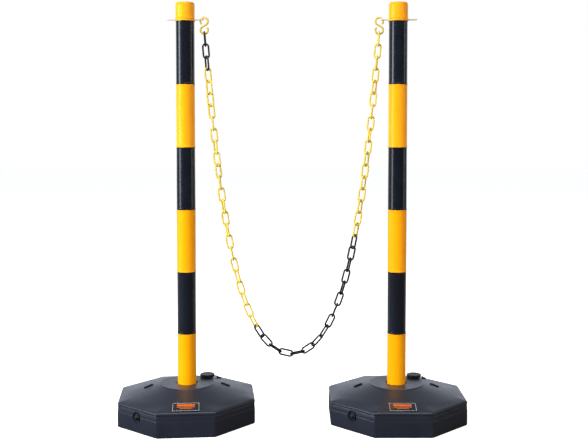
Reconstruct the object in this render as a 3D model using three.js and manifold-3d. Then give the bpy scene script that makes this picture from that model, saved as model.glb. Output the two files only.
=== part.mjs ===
// Plastic chain stanchion set: two posts of plug-together tubes, each standing in an octagonal
// blow-moulded ballast base, joined by a black and yellow link chain that hangs on two S-hooks.
// Millimetres, +Z up. The origin is on the floor, midway between the posts. +X runs from the
// left post to the right post, and the labelled fronts of the bases face -Y.
import * as THREE from 'three';
import { mergeVertices } from 'three/addons/utils/BufferGeometryUtils.js';
import Module from 'manifold-3d';

const wasm = await Module();
wasm.setup();

// ---------------------------------------------------------------- driving dimensions
const POST_X = 283; // each post axis from the middle of the set
const GAP = 0.3; // clearance between parts that touch
const TINY = 1; // how far a cutting tool runs past the face it opens

// Base shell, an octagon with flats to the front, the back and the sides
const BASE = {
  halfAcross: 180, // centre to flat
  footInset: 4, // small bevel round the floor edge
  wallTop: 60, // top of the upright side wall
  rimInset: 6, // rounded rim between the wall and the sloping top
  rimTop: 66.5,
  hubRadius: 73, // flat round hub that the sloping top runs up to
  hubTop: 95,
  skin: 3, // wall thickness of the moulding
  sides: 32, // points round each ring
};
// How far each base is turned about its post, in degrees
const BASE_TURN = { left: 5, right: 0 };

// Socket in the hub: the post's end stands in a ring-shaped well, over a central stub
const SOCKET = { mouthRadius: 28.3, boreRadius: 26.3, mouthDepth: 6, floor: 62.7, wall: 3 };

// Post sections: one tube form, pitch by pitch up the post
const SECTION = {
  count: 6,
  pitch: 167,
  foot: 63, // bottom end of the lowest section
  blackRadius: 24.8,
  yellowRadius: 25.5,
  boreRadius: 23.2,
  spigotRadius: 22.9,
  spigotBore: 20.9,
  spigotHeight: 30,
  sides: 20,
};

// Chain plate: a ring under the cap with an eyed ear on each side
const PLATE = {
  radius: 27,
  height: 5.9,
  earThickness: 2.6,
  earReach: 50,
  earWidth: 18,
  eyeCentre: 41,
  eyeRadius: 6,
  sides: 24,
};
const CAP = {
  radius: 26,
  height: 44.8,
  edge: 5, // radius of the rounded top edge
  socketDepth: 31.5,
  innerRadius: 20,
  crown: 3,
  sides: 20,
};

// S-hook: two round loops joined by a straight bar that leans across the middle
const HOOK = { wire: 2.5, loop: 10, centreGap: 23, tipAngle: 48, restAngle: 30, sides: 8, steps: 30 };

// Chain: stadium links, taut one inside the next
const LINK = { count: 58, pitch: 32.1, width: 19.5, wire: 4.4 };
const RUN_RADIUS = 4; // plain tube that stands for a run of links
const RUN_STEP = 24; // length of one step of that tube
// Number of links from the left hook in each colour
const BLACK_START = 3;
const YELLOW_START = 22;
const BLACK_MIDDLE = 16;
// Right half of the hanging line from the lowest point up to the hook, as [x, z]
const HANG = [
  [0, 173], [20.6, 176], [40.7, 185], [65.1, 205], [86.8, 233], [106.9, 270], [125.1, 315],
  [140.8, 365], [154.7, 420], [167.2, 480], [177.8, 540], [187.1, 600], [195.2, 660],
  [202.5, 720], [209.1, 780], [215.2, 840], [220.7, 900], [225.9, 960], [229, 999],
  [232, 1036.7],
];

// Fittings on the base: filler at the back right on the edge of the hub, the button of its
// tether further out, drain at front left. Filler heights are from the top of the hub.
const FILLER = {
  azimuth: 45,
  reach: 77,
  neckRadius: 16,
  neckBore: 13,
  neckRoot: -10,
  neckHeight: 4.4,
  capRadius: 20,
  capBottom: 2.2,
  capTop: 8,
  capBevel: 1.5,
  capBore: 16.5,
  capCeiling: 6.2,
  sides: 20,
};
const TETHER = {
  ringRadius: 19,
  thickness: 1.6,
  strapWidth: 8,
  footLift: 2.6,
  archHeight: 2.5,
  buttonRadius: 7,
  buttonSides: 12,
};
const TETHER_BUTTON = { reach: 122, height: 4.5 };
const DRAIN = {
  azimuth: 225,
  height: 40,
  dishRadius: 15,
  dishDepth: 6,
  hole: 7,
  seat: -3.8, // underside of the flange, from the wall's face
  flange: 10,
  flangeThickness: 3,
  knob: 4.5,
  knobHeight: 6,
  shank: 6.5,
  shankLength: 11,
  sides: 16,
};
const SLOT = { reach: 103.5, length: 23, width: 8, depth: 12, turn: 27 };
const LABEL = { width: 70, height: 38, thickness: 1.2, reach: 155 };

// ---------------------------------------------------------------- materials
const plastic = (color, roughness) =>
  new THREE.MeshStandardMaterial({ color, roughness, metalness: 0, flatShading: true });
const MATERIALS = {
  baseBlack: () => plastic('#2b2d35', 0.55),
  tubeBlack: () => plastic('#16181d', 0.32),
  tubeYellow: () => plastic('#f2b410', 0.38),
  hookYellow: () => plastic('#c8932b', 0.4),
  chainBlack: () => plastic('#19191b', 0.42),
  chainYellow: () => plastic('#dcc052', 0.42),
  fittingBlack: () => plastic('#131418', 0.5),
  rubber: () => plastic('#0e0e0f', 0.85),
  label: () => plastic('#1f232c', 0.45),
};

// ---------------------------------------------------------------- shape helpers
// A three.js geometry as a manifold-3d solid, with its shared vertices merged
function solid(geometry) {
  const bare = new THREE.BufferGeometry();
  const flat = geometry.index ? geometry.toNonIndexed() : geometry;
  bare.setAttribute('position', flat.getAttribute('position'));
  const merged = mergeVertices(bare, 1e-3);
  const vertProperties = merged.getAttribute('position').array;
  const triVerts = new Uint32Array(merged.index.array);
  return new wasm.Manifold(new wasm.Mesh({ numProp: 3, vertProperties, triVerts }));
}

// A manifold-3d solid as a three.js geometry
function geometryOf(body) {
  const { vertProperties, triVerts } = body.getMesh();
  const geometry = new THREE.BufferGeometry();
  geometry.setAttribute('position', new THREE.BufferAttribute(new Float32Array(vertProperties), 3));
  geometry.setIndex(new THREE.BufferAttribute(new Uint32Array(triVerts), 1));
  const faceted = geometry.toNonIndexed();
  faceted.computeVertexNormals();
  return faceted;
}

// A closed outline of [radius, z] points turned about Z; the outline runs anticlockwise
function turned(outline, sides) {
  const points = outline.map(([radius, z]) => new THREE.Vector2(radius, z));
  points.push(points[0].clone());
  return new THREE.LatheGeometry(points, sides).rotateX(Math.PI / 2);
}

// A round bar or cone from z0 to z1
function round(radius0, radius1, z0, z1, sides) {
  const bar = new THREE.CylinderGeometry(radius1, radius0, z1 - z0, sides);
  return bar.rotateX(Math.PI / 2).translate(0, 0, (z0 + z1) / 2);
}

// A closed skin over a stack of rings with equal numbers of points, lowest ring first
function loft(rings) {
  const around = rings[0].length;
  const points = rings.flat();
  const index = [];
  for (let level = 0; level + 1 < rings.length; level += 1) {
    for (let i = 0; i < around; i += 1) {
      const here = level * around + i;
      const next = level * around + ((i + 1) % around);
      index.push(here, next, next + around, here, next + around, here + around);
    }
  }
  const topRing = (rings.length - 1) * around;
  const bottomCentre = points.push(new THREE.Vector3(0, 0, rings[0][0].z)) - 1;
  const topCentre = points.push(new THREE.Vector3(0, 0, rings.at(-1)[0].z)) - 1;
  for (let i = 0; i < around; i += 1) {
    const next = (i + 1) % around;
    index.push(bottomCentre, next, i, topCentre, topRing + i, topRing + next);
  }
  return new THREE.BufferGeometry().setFromPoints(points).setIndex(index);
}

// Distance from the centre of an octagon to its edge, at a polar angle
function octagonReach(halfAcross, angle) {
  const turn = Math.PI / 4;
  return halfAcross / Math.cos(angle - turn * Math.round(angle / turn));
}

// A ring of points at height z, whose distance from the axis is given at each polar angle
function ring(z, reachAt) {
  return Array.from({ length: BASE.sides }, (_, i) => {
    const angle = (2 * Math.PI * i) / BASE.sides;
    const reach = reachAt(angle);
    return new THREE.Vector3(reach * Math.cos(angle), reach * Math.sin(angle), z);
  });
}
const octagonRing = (halfAcross, z) => ring(z, (angle) => octagonReach(halfAcross, angle));
const roundRing = (radius, z) => ring(z, () => radius);

// Frame on the sloping top of the base: origin on the surface, Z along its outward normal,
// Y towards the hub
function topFrame(azimuthDegrees, reach) {
  const azimuth = THREE.MathUtils.degToRad(azimuthDegrees);
  const rimReach = octagonReach(BASE.halfAcross - BASE.rimInset, azimuth);
  const slope = (BASE.hubTop - BASE.rimTop) / (rimReach - BASE.hubRadius);
  const outward = new THREE.Vector3(Math.cos(azimuth), Math.sin(azimuth), 0);
  const origin = outward.clone().multiplyScalar(reach);
  origin.z = BASE.rimTop + slope * (rimReach - reach);
  const uphill = outward.clone().multiplyScalar(-1).setZ(slope).normalize();
  const across = new THREE.Vector3(-outward.y, outward.x, 0);
  const normal = across.clone().cross(uphill);
  return new THREE.Matrix4().makeBasis(across, uphill, normal).setPosition(origin);
}

// Frame on the upright front-left face: Z along the outward normal
function drainFrame() {
  const azimuth = THREE.MathUtils.degToRad(DRAIN.azimuth);
  const outward = new THREE.Vector3(Math.cos(azimuth), Math.sin(azimuth), 0);
  const along = new THREE.Vector3(-outward.y, outward.x, 0);
  const up = new THREE.Vector3(0, 0, 1);
  const origin = outward.clone().multiplyScalar(BASE.halfAcross).setZ(DRAIN.height);
  return new THREE.Matrix4().makeBasis(along, up, outward).setPosition(origin);
}

// Upright frame of the filler: origin at the height of the hub's top, X away from the post
const fillerAzimuth = THREE.MathUtils.degToRad(FILLER.azimuth);
const fillerFrame = new THREE.Matrix4()
  .makeRotationZ(fillerAzimuth)
  .setPosition(
    FILLER.reach * Math.cos(fillerAzimuth),
    FILLER.reach * Math.sin(fillerAzimuth),
    BASE.hubTop,
  );

// ---------------------------------------------------------------- base
// Skin of the base, or of the hollow inside it, at a depth below the outer surface
function baseForm(depth) {
  const wall = BASE.halfAcross - depth;
  return loft([
    octagonRing(wall - BASE.footInset, depth),
    octagonRing(wall, BASE.footInset + depth),
    octagonRing(wall, BASE.wallTop - depth / 2),
    octagonRing(wall - BASE.rimInset / 4, BASE.rimTop - BASE.rimInset / 3 - depth),
    octagonRing(wall - BASE.rimInset, BASE.rimTop - depth),
    roundRing(BASE.hubRadius, BASE.hubTop - depth),
  ]);
}

function slotBlock(side, grow, depth) {
  const block = new THREE.BoxGeometry(SLOT.length + 2 * grow, SLOT.width + 2 * grow, 2 * depth);
  block.rotateZ(THREE.MathUtils.degToRad(side * -SLOT.turn));
  const top = topFrame(side > 0 ? 0 : 180, SLOT.reach).elements[14];
  return solid(block.translate(side * SLOT.reach, 0, top));
}

function baseShell() {
  const { floor, wall, boreRadius, mouthRadius, mouthDepth } = SOCKET;
  const stubTop = floor + SECTION.spigotHeight;
  const { spigotRadius, spigotBore, sides } = SECTION;
  const stub = solid(round(spigotRadius, spigotRadius, floor - TINY, stubTop, sides));
  const mouthFloor = BASE.hubTop - mouthDepth;
  const mouth = round(boreRadius, mouthRadius, mouthFloor, BASE.hubTop + 0.01, sides);
  const well = solid(round(boreRadius, boreRadius, floor, BASE.hubTop + TINY, sides))
    .add(solid(mouth))
    .subtract(stub);
  const wellBlock = solid(
    round(boreRadius + wall, mouthRadius + wall, floor - wall, BASE.hubTop, sides),
  );
  const coreRadius = spigotBore - TINY;
  const stubCore = solid(round(coreRadius, coreRadius, floor - 2 * wall, stubTop - wall, sides));
  const inDrain = (geometry) => solid(geometry.applyMatrix4(drainFrame()));
  const { dishRadius, dishDepth, hole } = DRAIN;
  const dish = inDrain(round(dishRadius - 2, dishRadius, -dishDepth, 0.01, DRAIN.sides));
  const dishBlock = inDrain(
    round(dishRadius + 1, dishRadius + BASE.skin, -dishDepth - BASE.skin, 0, DRAIN.sides),
  );
  const drainHole = inDrain(round(hole, hole, -dishDepth - BASE.skin - TINY, 0, DRAIN.sides));
  const inFiller = (geometry) => solid(geometry.applyMatrix4(fillerFrame));
  const { neckRadius, neckBore, neckRoot, neckHeight } = FILLER;
  const neck = inFiller(round(neckRadius, neckRadius, neckRoot, neckHeight, FILLER.sides));
  const fillHole = inFiller(
    round(neckBore, neckBore, neckRoot - TINY, neckHeight + TINY, FILLER.sides),
  );
  const slots = [-1, 1].map((side) => slotBlock(side, 0, SLOT.depth));
  const slotWalls = [-1, 1].map((side) => slotBlock(side, BASE.skin, SLOT.depth + BASE.skin));

  const chamber = solid(baseForm(BASE.skin))
    .subtract(wellBlock)
    .subtract(slotWalls[0])
    .subtract(slotWalls[1])
    .subtract(dishBlock)
    .add(stubCore);
  const shell = solid(baseForm(0))
    .add(neck)
    .subtract(chamber)
    .subtract(well)
    .subtract(slots[0])
    .subtract(slots[1])
    .subtract(dish)
    .subtract(drainHole)
    .subtract(fillHole);
  return geometryOf(shell);
}

function fillGasket() {
  const inner = FILLER.neckBore - 1;
  const outer = FILLER.neckRadius - GAP;
  const bottom = FILLER.neckHeight + GAP;
  const top = FILLER.capCeiling - GAP;
  const outline = [[inner, bottom], [outer, bottom], [outer, top], [inner, top]];
  return turned(outline, FILLER.sides).applyMatrix4(fillerFrame);
}

function fillCap() {
  const { capRadius, capBottom, capTop, capBevel, capBore, capCeiling } = FILLER;
  const outline = [
    [0, capCeiling], [capBore, capCeiling], [capBore, capBottom], [capRadius, capBottom],
    [capRadius, capTop - capBevel], [capRadius - capBevel, capTop], [0, capTop],
  ];
  return turned(outline, FILLER.sides).applyMatrix4(fillerFrame);
}

// Flat ring round the neck, a strap that arches away from it, and the button that anchors it
function capTether() {
  const { ringRadius, thickness, strapWidth, footLift, archHeight } = TETHER;
  const { buttonRadius, buttonSides } = TETHER;
  const bore = FILLER.neckRadius + GAP;
  const ringOutline = [[bore, GAP], [ringRadius, GAP], [ringRadius, GAP + thickness],
    [bore, GAP + thickness]];
  const neckRing = turned(ringOutline, FILLER.sides).applyMatrix4(fillerFrame);
  const buttonFrame = topFrame(FILLER.azimuth, TETHER_BUTTON.reach);
  const { height } = TETHER_BUTTON;
  const button = round(buttonRadius, buttonRadius - 1, GAP, height, buttonSides);
  button.applyMatrix4(buttonFrame);

  // The strap's side view, in the filler's own frame: flat under the cap, then an arch down
  const end = new THREE.Vector3()
    .setFromMatrixPosition(buttonFrame)
    .applyMatrix4(fillerFrame.clone().invert());
  const flat = GAP + thickness / 2;
  const arch = new THREE.SplineCurve([
    new THREE.Vector2(ringRadius - 2, flat),
    new THREE.Vector2(FILLER.capRadius + 1, flat - footLift / 2),
    new THREE.Vector2(end.x * 0.75, end.z * 0.75 + footLift + archHeight),
    new THREE.Vector2(end.x - 1, end.z + footLift),
  ]).getPoints(12);
  const shifted = (points, step) => points.map(({ x, y }) => new THREE.Vector2(x, y + step));
  const profile = [...shifted(arch, -thickness / 2), ...shifted(arch, thickness / 2).reverse()];
  const strap = new THREE.ExtrudeGeometry(new THREE.Shape(profile), {
    depth: strapWidth, bevelEnabled: false,
  });
  strap.translate(0, 0, -strapWidth / 2).rotateX(Math.PI / 2).applyMatrix4(fillerFrame);
  return geometryOf(solid(neckRing).add(solid(strap)).add(solid(button)));
}

function drainPlug() {
  const { seat, flange, flangeThickness, knob, knobHeight, shank, shankLength } = DRAIN;
  const outline = [
    [0, seat - shankLength], [shank, seat - shankLength], [shank, seat], [flange, seat],
    [flange, seat + flangeThickness], [knob, seat + flangeThickness],
    [knob, seat + flangeThickness + knobHeight], [0, seat + flangeThickness + knobHeight],
  ];
  return turned(outline, DRAIN.sides).applyMatrix4(drainFrame());
}

function drainORing() {
  const inner = DRAIN.shank + GAP;
  const outer = DRAIN.flange - 1;
  const bottom = -DRAIN.dishDepth + GAP;
  const top = DRAIN.seat - GAP;
  const outline = [[inner, bottom], [outer, bottom], [outer, top], [inner, top]];
  return turned(outline, DRAIN.sides).applyMatrix4(drainFrame());
}

function labelPlate() {
  const plate = new THREE.BoxGeometry(LABEL.width, LABEL.height, LABEL.thickness);
  plate.translate(0, 0, LABEL.thickness / 2 + GAP);
  return plate.applyMatrix4(topFrame(270, LABEL.reach));
}

// ---------------------------------------------------------------- post
const sectionBottom = (number) => SECTION.foot + SECTION.pitch * number;
const postTop = sectionBottom(SECTION.count);

// A tube, open below, that necks in to the spigot carrying the next tube
function postSection(isYellow) {
  const { pitch, boreRadius, spigotRadius, spigotBore, spigotHeight, sides } = SECTION;
  const outer = isYellow ? SECTION.yellowRadius : SECTION.blackRadius;
  const shoulder = pitch - GAP;
  const outline = [
    [boreRadius, 0], [outer, 0], [outer, shoulder], [spigotRadius, shoulder],
    [spigotRadius, shoulder + spigotHeight], [spigotBore, shoulder + spigotHeight],
    [spigotBore, shoulder - 2], [boreRadius, shoulder - 6],
  ];
  return turned(outline, sides);
}

function chainPlate() {
  const { radius, height, earThickness, earReach, earWidth, eyeCentre, eyeRadius } = PLATE;
  const { boreRadius } = SECTION;
  const half = earWidth / 2;
  const blade = new THREE.Shape();
  blade.absarc(earReach - half, 0, half, -Math.PI / 2, Math.PI / 2, false);
  blade.absarc(half - earReach, 0, half, Math.PI / 2, (3 * Math.PI) / 2, false);
  for (const side of [-1, 1]) {
    const eye = new THREE.Path();
    eye.absarc(side * eyeCentre, 0, eyeRadius, 0, 2 * Math.PI, true);
    blade.holes.push(eye);
  }
  const ears = new THREE.ExtrudeGeometry(blade, {
    depth: earThickness, bevelEnabled: false, curveSegments: 8,
  });
  ears.translate(0, 0, height - earThickness);
  const collar = solid(round(radius, radius, 0, height, PLATE.sides));
  const bore = solid(round(boreRadius, boreRadius, -TINY, height + TINY, PLATE.sides));
  return geometryOf(solid(ears).add(collar).subtract(bore));
}

function topCap() {
  const { radius, height, edge, socketDepth, innerRadius, crown, sides } = CAP;
  const outline = [[SECTION.boreRadius, 0], [radius, 0]];
  for (const degrees of [0, 30, 60, 90]) {
    const angle = THREE.MathUtils.degToRad(degrees);
    outline.push([
      radius - edge + edge * Math.cos(angle),
      height - edge + edge * Math.sin(angle),
    ]);
  }
  outline.push([0, height], [0, height - crown], [innerRadius, height - crown - 1]);
  outline.push([innerRadius, socketDepth], [SECTION.boreRadius, socketDepth]);
  return turned(outline, sides);
}

// ---------------------------------------------------------------- hooks and chain
// Centre line of the S-hook in its own XZ plane: an arc, the leaning bar and the other arc.
// The bar is the inner tangent of the two loops, so it leaves each where the radius to it
// makes the angle whose cosine is loop diameter / distance between centres with the axis.
function hookLine() {
  const lean = THREE.MathUtils.radToDeg(Math.acos((2 * HOOK.loop) / HOOK.centreGap));
  const first = 180 + HOOK.tipAngle;
  const last = -90 + lean;
  const arc = [];
  const steps = 16;
  for (let i = 0; i <= steps; i += 1) {
    const angle = THREE.MathUtils.degToRad(first + ((last - first) * i) / steps);
    const x = HOOK.loop * Math.cos(angle);
    arc.push(new THREE.Vector3(x, 0, HOOK.loop * Math.sin(angle) + HOOK.centreGap / 2));
  }
  const mirrored = arc.map((point) => point.clone().negate()).reverse();
  return new THREE.CatmullRomCurve3([...arc, ...mirrored], false, 'centripetal');
}

function circleSection(radius, sides) {
  return new THREE.Shape(Array.from({ length: sides }, (_, i) => {
    const angle = (2 * Math.PI * i) / sides;
    return new THREE.Vector2(radius * Math.cos(angle), radius * Math.sin(angle));
  }));
}

function sHook() {
  return new THREE.ExtrudeGeometry(circleSection(HOOK.wire, HOOK.sides), {
    steps: HOOK.steps, bevelEnabled: false, extrudePath: hookLine(),
  });
}

// Where the left hook hangs: its upper loop rests on the outer web of the ear's eye
const earTop = postTop + PLATE.height;
const webX = PLATE.eyeCentre + PLATE.eyeRadius;
const restReach = HOOK.loop - HOOK.wire - GAP;
const restAngle = THREE.MathUtils.degToRad(HOOK.restAngle);
const hookX = webX + restReach * Math.sin(restAngle);
const hookZ = earTop - restReach * Math.cos(restAngle) - HOOK.centreGap / 2;

// Stadium outline with its long axis on Y
function stadium(Kind, length, width) {
  const outline = new Kind();
  const half = width / 2;
  outline.absarc(0, (length - width) / 2, half, 0, Math.PI, false);
  outline.absarc(0, (width - length) / 2, half, Math.PI, 2 * Math.PI, false);
  return outline;
}

const linkLength = LINK.pitch + 2 * LINK.wire + GAP;

// A closed link with an eight-sided wire: the flat ring is bevelled on all four edges
function chainLink() {
  const flat = LINK.wire * Math.tan(Math.PI / 8);
  const bevel = (LINK.wire - flat) / 2;
  const outline = stadium(THREE.Shape, linkLength, LINK.width);
  outline.holes.push(
    stadium(THREE.Path, linkLength - 2 * LINK.wire, LINK.width - 2 * LINK.wire),
  );
  return new THREE.ExtrudeGeometry(outline, {
    depth: flat,
    bevelThickness: bevel,
    bevelSize: bevel,
    bevelOffset: -bevel,
    bevelSegments: 1,
    curveSegments: 4,
  }).translate(0, 0, -flat / 2);
}

// The whole hanging line from the left hook to the right hook
const hangingLine = new THREE.CatmullRomCurve3([
  ...HANG.slice(1).reverse().map(([x, z]) => new THREE.Vector3(-x, 0, z)),
  ...HANG.map(([x, z]) => new THREE.Vector3(x, 0, z)),
], false, 'centripetal');
hangingLine.arcLengthDivisions = 2000;
const lineLength = hangingLine.getLength();
const endBar = (linkLength - LINK.wire) / 2; // from a link's centre to its end wire
const pitch = (lineLength - 2 * endBar) / (LINK.count - 1);

// Distance along the line to the change from link number n to the next
const changeAfter = (links) => endBar + (links - 0.5) * pitch;

function chainRun(from, to) {
  const steps = Math.round((to - from) / RUN_STEP);
  const points = Array.from({ length: 2 * steps + 1 }, (_, i) =>
    hangingLine.getPointAt((from + ((to - from) * i) / (2 * steps)) / lineLength));
  return new THREE.ExtrudeGeometry(circleSection(RUN_RADIUS, 8), {
    steps, bevelEnabled: false, extrudePath: new THREE.CatmullRomCurve3(points),
  });
}

// Frame of an end link: Y along the chain, the ring's own plane turned edge-on to the front
function endLinkFrame(distance) {
  const centre = hangingLine.getPointAt(distance / lineLength);
  const along = hangingLine.getTangentAt(distance / lineLength);
  const depth = new THREE.Vector3(0, 1, 0);
  return new THREE.Matrix4()
    .makeBasis(depth, along, depth.clone().cross(along))
    .setPosition(centre);
}

// ---------------------------------------------------------------- assembly
const stanchionSet = new THREE.Group();

function add(parent, name, geometry, material) {
  const mesh = new THREE.Mesh(geometry, material);
  mesh.name = name;
  parent.add(mesh);
  return mesh;
}

for (const [side, sign] of [['left', -1], ['right', 1]]) {
  const stanchion = new THREE.Group();
  stanchion.position.x = sign * POST_X;
  stanchionSet.add(stanchion);
  const part = (name, geometry, material) =>
    add(stanchion, `${side}_${name}`, geometry, MATERIALS[material]());

  const baseParts = [
    part('base_shell', baseShell(), 'baseBlack'),
    part('fill_gasket', fillGasket(), 'rubber'),
    part('fill_cap', fillCap(), 'fittingBlack'),
    part('cap_tether', capTether(), 'fittingBlack'),
    part('drain_o_ring', drainORing(), 'rubber'),
    part('drain_plug', drainPlug(), 'fittingBlack'),
    part('label_plate', labelPlate(), 'label'),
  ];
  for (const basePart of baseParts) {
    basePart.rotation.z = THREE.MathUtils.degToRad(BASE_TURN[side]);
  }

  for (let number = 0; number < SECTION.count; number += 1) {
    const isYellow = number % 2 === 0;
    const colour = isYellow ? 'tubeYellow' : 'tubeBlack';
    const tube = part(`post_section_${number + 1}`, postSection(isYellow), colour);
    tube.position.z = sectionBottom(number);
  }
  part('chain_plate', chainPlate(), 'tubeYellow').position.z = postTop;
  part('top_cap', topCap(), 'tubeYellow').position.z = earTop + GAP;

  const hook = part('s_hook', sHook(), 'hookYellow');
  hook.position.set(-sign * hookX, 0, hookZ);
  hook.rotation.z = sign > 0 ? Math.PI : 0;
}

const endLinks = [
  ['left_end_link', endBar, 'chainBlack'],
  ['right_end_link', lineLength - endBar, 'chainYellow'],
];
for (const [name, distance, colour] of endLinks) {
  const link = chainLink().applyMatrix4(endLinkFrame(distance));
  add(stanchionSet, name, link, MATERIALS[colour]());
}

const firstEnd = endBar + linkLength / 2 + GAP;
const changes = [
  changeAfter(BLACK_START),
  changeAfter(BLACK_START + YELLOW_START),
  changeAfter(BLACK_START + YELLOW_START + BLACK_MIDDLE),
];
const runs = [
  ['black_run_1', firstEnd, changes[0], 'chainBlack'],
  ['yellow_run_1', changes[0] + GAP, changes[1], 'chainYellow'],
  ['black_run_2', changes[1] + GAP, changes[2], 'chainBlack'],
  ['yellow_run_2', changes[2] + GAP, lineLength - firstEnd, 'chainYellow'],
];
for (const [name, from, to, colour] of runs) {
  add(stanchionSet, name, chainRun(from, to), MATERIALS[colour]());
}

export default stanchionSet;
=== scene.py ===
# %% [markdown]
# # A pair of chain stanchions, built from number arrays
#
# The object is a barrier set: two striped plastic posts in black ballast bases, joined by a black
# and yellow plastic chain on two S-hooks. An engineering model of it already exists. It fixes the
# size, the place and the moving parts. This lesson builds the surfaces that people see, on top of
# that frame. Every shape here is a formula worked out on a whole array of points at once.

import math
import bpy
import numpy as np
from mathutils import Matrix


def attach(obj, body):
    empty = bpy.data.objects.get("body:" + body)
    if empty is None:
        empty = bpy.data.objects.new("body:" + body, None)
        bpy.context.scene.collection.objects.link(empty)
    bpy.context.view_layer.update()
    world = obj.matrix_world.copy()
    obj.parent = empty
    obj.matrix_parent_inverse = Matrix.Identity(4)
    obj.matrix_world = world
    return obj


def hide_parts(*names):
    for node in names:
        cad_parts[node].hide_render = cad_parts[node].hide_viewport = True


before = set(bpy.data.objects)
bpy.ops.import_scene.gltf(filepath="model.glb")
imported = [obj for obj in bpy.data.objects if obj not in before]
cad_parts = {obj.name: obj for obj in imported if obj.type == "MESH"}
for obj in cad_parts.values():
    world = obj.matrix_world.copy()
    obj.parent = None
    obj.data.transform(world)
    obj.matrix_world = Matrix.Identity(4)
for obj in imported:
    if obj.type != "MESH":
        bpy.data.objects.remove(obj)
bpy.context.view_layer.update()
scene = bpy.context.scene

# %% [markdown]
# ## The camera
#
# The camera comes first, because it decides how the hanging chain is seen. It stands in front of
# the set, a little above its middle, and looks slightly down on the bases. A long lens keeps the
# posts nearly upright. The view is also shifted a little downwards, as with a view camera, which
# brings the bases into the picture with less tilt.

# %% Camera
camera_data = bpy.data.cameras.new("camera")
camera_data.sensor_width = 36.0
camera_data.lens = 58.5
camera_data.shift_x = 0.0039
camera_data.shift_y = -0.08
camera = bpy.data.objects.new("camera", camera_data)
camera.location = (0.0, -2.5542, 0.7929)
camera.rotation_euler = (math.radians(90 - 2.964), 0.0, 0.0)
scene.collection.objects.link(camera)
scene.camera = camera
print("camera distance:", round(camera.location.length, 3))

# %% [markdown]
# ## The line of the chain
#
# A chain hangs in a curve that is steep at the hooks and tight at its lowest point. The half
# curve is given by a few points, and its mirror image is the other half. A smooth curve goes
# through them. The formula is the centripetal Catmull-Rom curve: on each stretch the point is a
# cubic in its parameter, and the slope at each given point comes from its two neighbours.

# %% Chain line
HALF_LINE = np.array([
    (0, 173), (20.6, 176), (40.7, 185), (65.1, 205), (86.8, 233), (106.9, 270), (125.1, 315),
    (140.8, 365), (154.7, 420), (167.2, 480), (177.8, 540), (187.1, 600), (195.2, 660),
    (202.5, 720), (209.1, 780), (215.2, 840), (220.7, 900), (225.9, 960), (229, 999),
    (232, 1036.7),
]) / 1000


def smooth_line(given, per_stretch):
    """Centripetal Catmull-Rom curve through the given points. On a stretch from b to c the point
    is the cubic with ends b and c whose end slopes are the neighbours' differences, each divided
    by the square root of its length."""
    ends = [2 * given[:1] - given[1:2], given, 2 * given[-1:] - given[-2:-1]]
    points = np.concatenate(ends)
    a, b, c, d = points[:-3], points[1:-2], points[2:-1], points[3:]
    ka, kb, kc = (np.sqrt(np.linalg.norm(q - p, axis=1))[:, None]
                  for p, q in ((a, b), (b, c), (c, d)))
    slope_b = ((b - a) / ka - (c - a) / (ka + kb) + (c - b) / kb) * kb
    slope_c = ((c - b) / kb - (d - b) / (kb + kc) + (d - c) / kc) * kb
    t = np.linspace(0, 1, per_stretch, endpoint=False)[:, None, None]
    cubic = (b + t * slope_b + t ** 2 * (3 * (c - b) - 2 * slope_b - slope_c)
             + t ** 3 * (2 * (b - c) + slope_b + slope_c))
    return np.concatenate([cubic.transpose(1, 0, 2).reshape(-1, given.shape[1]), given[-1:]])


line = smooth_line(np.concatenate([HALF_LINE[:0:-1] * (-1, 1), HALF_LINE]), 60)
along = np.concatenate([[0], np.cumsum(np.linalg.norm(np.diff(line, axis=0), axis=1))])
line_length = along[-1]


def on_line(distance):
    """Points of the hanging line, in space, at these distances from the left hook."""
    x = np.interp(distance, along, line[:, 0])
    z = np.interp(distance, along, line[:, 1])
    return np.stack([x, np.zeros_like(x), z], axis=-1)


print("length of the chain:", round(line_length, 4))

# %% [markdown]
# ## Helpers for surfaces
#
# Most pieces are one of two kinds. A turned piece is an outline spun round an axis, as on a
# lathe. A swept piece is a round wire carried along a path. Both give a grid of points, and the
# grid's cells become the faces. Where an outline meets the axis, the grid closes in one point.

# %% Grid, outline and mesh helpers


def unit(vectors):
    """Each vector divided by its length."""
    return vectors / np.linalg.norm(vectors, axis=-1, keepdims=True)


def grid_faces(rows, columns, close_rows):
    """Cells of a grid of rows by columns points. The columns always join round. The rows join
    round when close_rows is true. Each cell runs along its row first, then to the next row."""
    i, j = np.meshgrid(np.arange(rows if close_rows else rows - 1), np.arange(columns),
                       indexing="ij")
    here, beside = i * columns + j, i * columns + (j + 1) % columns
    after = ((i + 1) % rows) * columns
    return np.stack([here, beside, after + (j + 1) % columns, after + j], -1).reshape(-1, 4)


def fan_faces(first, columns, pole, flipped):
    """Triangles from one ring of points to the pole point that closes it."""
    j = np.arange(columns)
    here, beside = first + j, first + (j + 1) % columns
    pair = (beside, here) if flipped else (here, beside)
    return np.stack([*pair, np.full(columns, pole)], -1)


def closed_skin(rings, poles):
    """Points and faces of a stack of rings closed by a pole at each end, or by joining the last
    ring to the first when poles is None."""
    rows, columns = rings.shape[:2]
    points = rings.reshape(-1, 3)
    faces = grid_faces(rows, columns, poles is None).tolist()
    if poles is not None:
        count = rows * columns
        points = np.concatenate([points, np.asarray(poles, float)])
        faces += fan_faces(0, columns, count, True).tolist()
        faces += fan_faces(count - columns, columns, count + 1, False).tolist()
    return points, faces


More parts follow.
